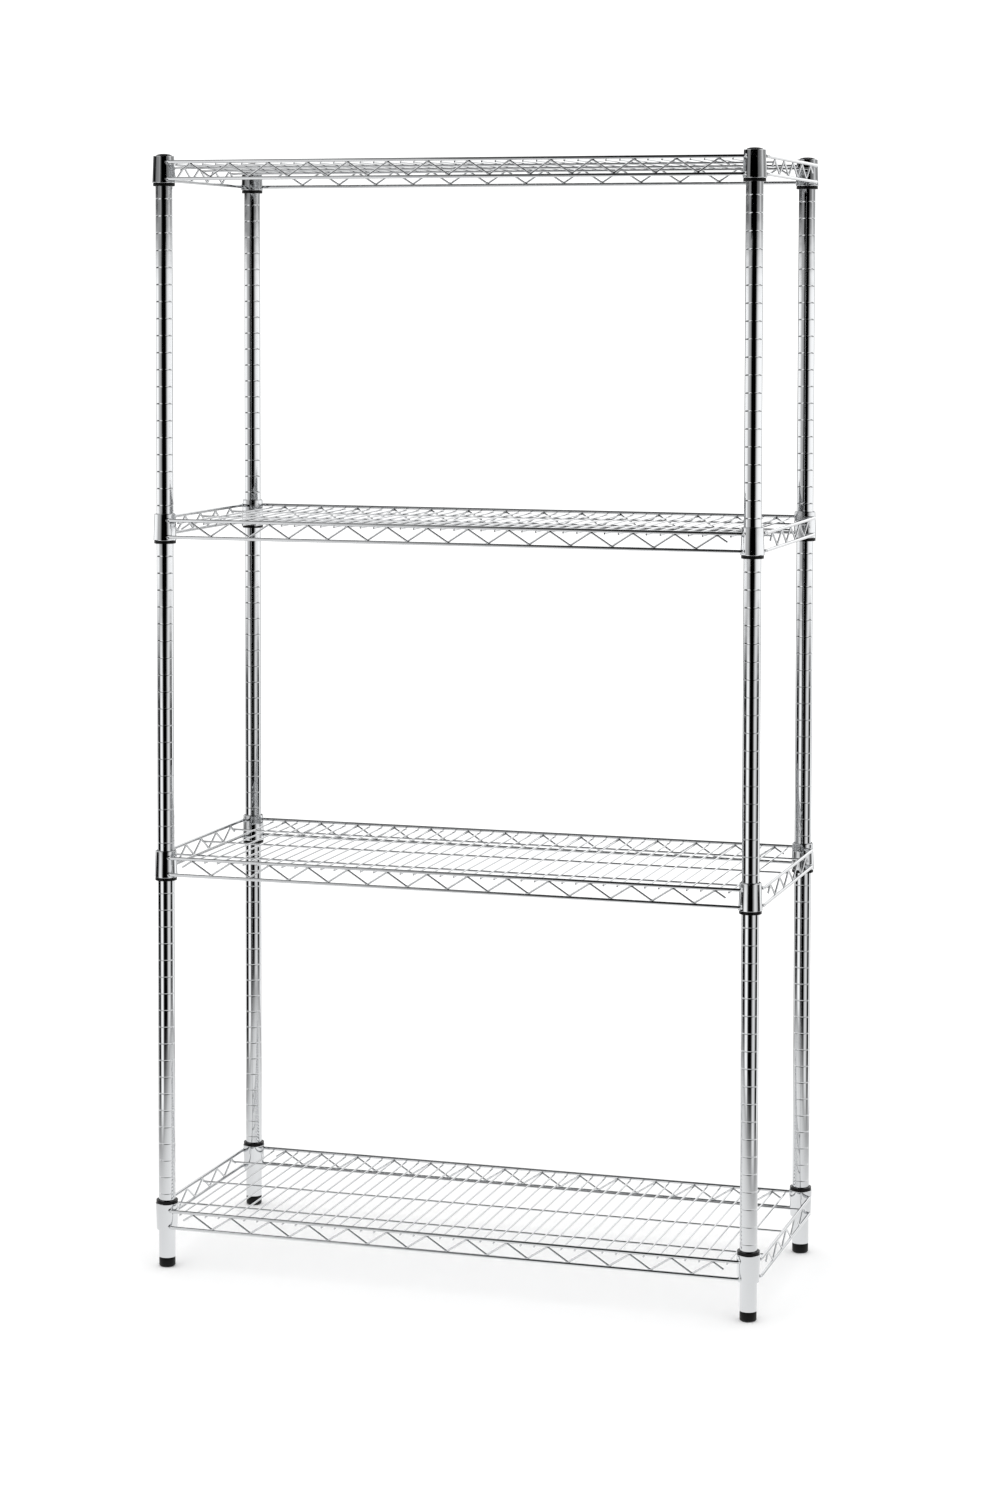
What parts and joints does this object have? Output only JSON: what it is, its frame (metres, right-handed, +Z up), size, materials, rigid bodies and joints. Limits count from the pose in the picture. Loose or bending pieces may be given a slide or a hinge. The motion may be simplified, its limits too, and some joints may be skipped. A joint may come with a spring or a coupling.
{
  "type": "wire shelving rack",
  "caption": "Freestanding chrome wire shelving rack: welded wire shelves on grooved tube posts, with split plastic sleeves, domed caps and levelling feet.",
  "frame": {"origin": "centre of the rack's footprint, on the floor under the feet", "axes": "+Z up along the posts, the front faces -Y, the shelves' width runs along X"},
  "size_m": [0.938, 0.396, 1.6788],
  "materials": {
    "post_chrome": "polished chrome plate on thin steel tube",
    "shelf_chrome": "bright chrome plate on welded steel wire",
    "sleeve_plastic": "satin black moulded plastic",
    "cap_plastic": "satin black moulded plastic",
    "foot_plastic": "matte black hard plastic",
    "insert_plastic": "black moulded plastic with a thread"
  },
  "bodies": {
    "frame": {"post_front_left": "post_chrome", "insert_front_left": "insert_plastic", "cap_front_left": "cap_plastic", "post_front_right": "post_chrome", "insert_front_right": "insert_plastic", "cap_front_right": "cap_plastic", "post_back_left": "post_chrome", "insert_back_left": "insert_plastic", "cap_back_left": "cap_plastic", "post_back_right": "post_chrome", "insert_back_right": "insert_plastic", "cap_back_right": "cap_plastic", "shelf_1_deck": "shelf_chrome", "shelf_1_front_truss": "shelf_chrome", "shelf_1_back_truss": "shelf_chrome", "shelf_1_left_end": "shelf_chrome", "shelf_1_right_end": "shelf_chrome", "sleeve_1_front_left": "sleeve_plastic", "sleeve_1_front_right": "sleeve_plastic", "sleeve_1_back_left": "sleeve_plastic", "sleeve_1_back_right": "sleeve_plastic", "sleeve_2_front_left": "sleeve_plastic", "sleeve_2_front_right": "sleeve_plastic", "sleeve_2_back_left": "sleeve_plastic", "sleeve_2_back_right": "sleeve_plastic", "sleeve_3_front_left": "sleeve_plastic", "sleeve_3_front_right": "sleeve_plastic", "sleeve_3_back_left": "sleeve_plastic", "sleeve_3_back_right": "sleeve_plastic", "sleeve_4_front_left": "sleeve_plastic", "sleeve_4_front_right": "sleeve_plastic", "sleeve_4_back_left": "sleeve_plastic", "sleeve_4_back_right": "sleeve_plastic"},
    "levelling_foot_front_left": {"foot_front_left": "foot_plastic"},
    "levelling_foot_front_right": {"foot_front_right": "foot_plastic"},
    "levelling_foot_back_left": {"foot_back_left": "foot_plastic"},
    "levelling_foot_back_right": {"foot_back_right": "foot_plastic"},
    "shelf_2": {"shelf_2_deck": "shelf_chrome", "shelf_2_front_truss": "shelf_chrome", "shelf_2_back_truss": "shelf_chrome", "shelf_2_left_end": "shelf_chrome", "shelf_2_right_end": "shelf_chrome"},
    "shelf_3": {"shelf_3_deck": "shelf_chrome", "shelf_3_front_truss": "shelf_chrome", "shelf_3_back_truss": "shelf_chrome", "shelf_3_left_end": "shelf_chrome", "shelf_3_right_end": "shelf_chrome"},
    "shelf_4": {"shelf_4_deck": "shelf_chrome", "shelf_4_front_truss": "shelf_chrome", "shelf_4_back_truss": "shelf_chrome", "shelf_4_left_end": "shelf_chrome", "shelf_4_right_end": "shelf_chrome"}
  },
  "joints": [
    {"name": "shelf_2_lift", "type": "slide", "parent": "frame", "child": "shelf_2", "axis": [0, 0, 1], "range_m": [0, 0.46]},
    {"name": "shelf_3_lift", "type": "slide", "parent": "frame", "child": "shelf_3", "axis": [0, 0, 1], "range_m": [0, 0.485]},
    {"name": "shelf_4_lift", "type": "slide", "parent": "frame", "child": "shelf_4", "axis": [0, 0, 1], "range_m": [0, 0.12]},
    {"name": "foot_front_left_screw", "type": "slide", "parent": "frame", "child": "levelling_foot_front_left", "axis": [0, 0, -1], "range_m": [0, 0.012]},
    {"name": "foot_front_right_screw", "type": "slide", "parent": "frame", "child": "levelling_foot_front_right", "axis": [0, 0, -1], "range_m": [0, 0.012]},
    {"name": "foot_back_left_screw", "type": "slide", "parent": "frame", "child": "levelling_foot_back_left", "axis": [0, 0, -1], "range_m": [0, 0.012]},
    {"name": "foot_back_right_screw", "type": "slide", "parent": "frame", "child": "levelling_foot_back_right", "axis": [0, 0, -1], "range_m": [0, 0.012]}
  ]
}
